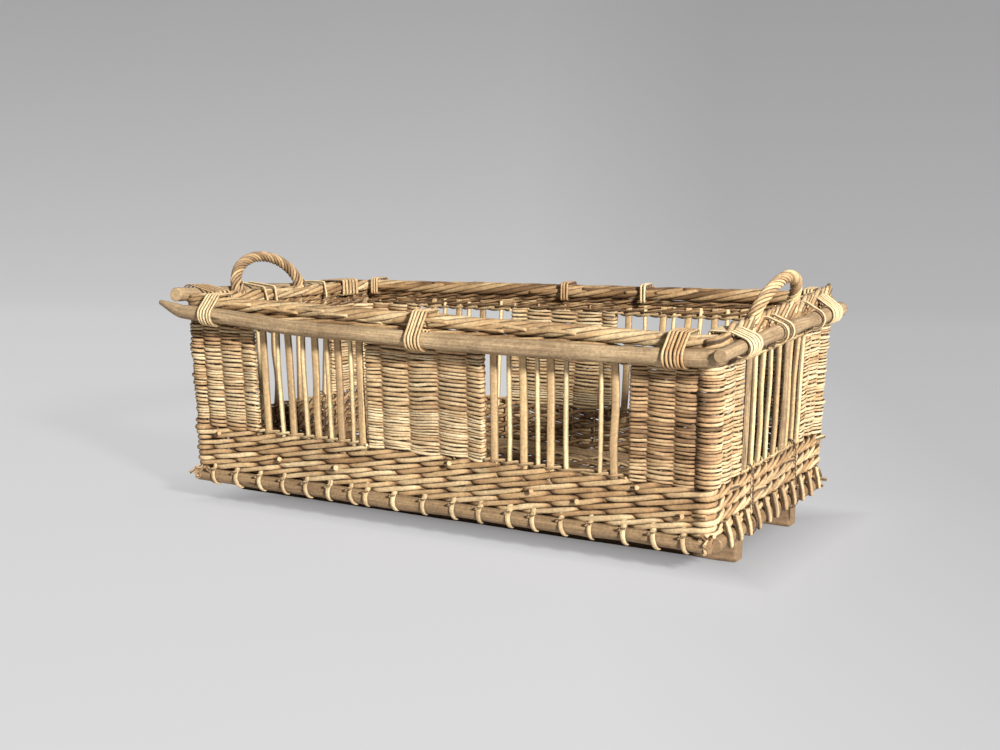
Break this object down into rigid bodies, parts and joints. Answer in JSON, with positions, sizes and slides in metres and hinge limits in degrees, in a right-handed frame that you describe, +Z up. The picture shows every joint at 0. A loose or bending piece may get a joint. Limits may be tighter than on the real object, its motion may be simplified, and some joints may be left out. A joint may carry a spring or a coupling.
{
  "type": "rectangular wicker basket",
  "caption": "Large rectangular harvest basket of willow: open barred windows between woven panels, roped border, lashed rim poles, two bow handles and wooden runners.",
  "frame": {"origin": "on the ground under the middle of the basket, between the two runners", "axes": "+X along the basket to its right end, +Y from the front wall to the rear wall, +Z up"},
  "size_m": [1.0143, 0.6663, 0.4272],
  "materials": {
    "willow": "woven weathered willow, dull, straw to grey-brown",
    "peeled_willow": "peeled and split rods, dull, pale straw",
    "bark_pole": "smooth weathered branch wood with knots and long grain",
    "runner_wood": "rough sawn board, dry and grey-brown",
    "cane": "split cane, pale with a slight sheen",
    "iron_wire": "dark annealed wire, slightly rusty"
  },
  "bodies": {
    "root": {"runner_front": "runner_wood", "runner_rear": "runner_wood", "base_pole_front": "bark_pole", "base_pole_rear": "bark_pole", "base_pole_left": "bark_pole", "base_pole_right": "bark_pole", "base_mat": "willow", "lower_band": "willow", "corner_post_front_left": "bark_pole", "corner_post_front_right": "bark_pole", "corner_post_rear_left": "bark_pole", "corner_post_rear_right": "bark_pole", "corner_panel_front_left": "willow", "corner_panel_front_right": "willow", "corner_panel_rear_left": "willow", "corner_panel_rear_right": "willow", "centre_panel_front": "willow", "centre_panel_rear": "willow", "window_bars_front_left": "peeled_willow", "window_bars_front_right": "peeled_willow", "window_bars_rear_left": "peeled_willow", "window_bars_rear_right": "peeled_willow", "window_bars_end_left": "peeled_willow", "window_bars_end_right": "peeled_willow", "upper_band": "willow", "border": "willow", "rim_pole_front": "bark_pole", "rim_pole_rear": "bark_pole", "rim_pole_left": "bark_pole", "rim_pole_right": "bark_pole", "binding_front_left": "cane", "binding_front_middle": "cane", "binding_front_right": "cane", "binding_rear_left": "cane", "binding_rear_middle": "cane", "binding_rear_centre_right": "cane", "binding_rear_right": "cane", "binding_left_front": "cane", "binding_left_rear": "cane", "binding_right_front": "cane", "binding_right_rear": "cane", "handle_lashing_left_front": "cane", "handle_lashing_left_rear": "cane", "handle_lashing_right_front": "cane", "handle_lashing_right_rear": "cane", "handle_bow_left": "bark_pole", "handle_bow_right": "bark_pole", "handle_rope_left": "peeled_willow", "handle_rope_right": "peeled_willow", "wire_tie_left_front": "iron_wire", "wire_tie_left_rear": "iron_wire", "wire_tie_right_front": "iron_wire", "wire_tie_right_rear": "iron_wire"}
  },
  "joints": []
}
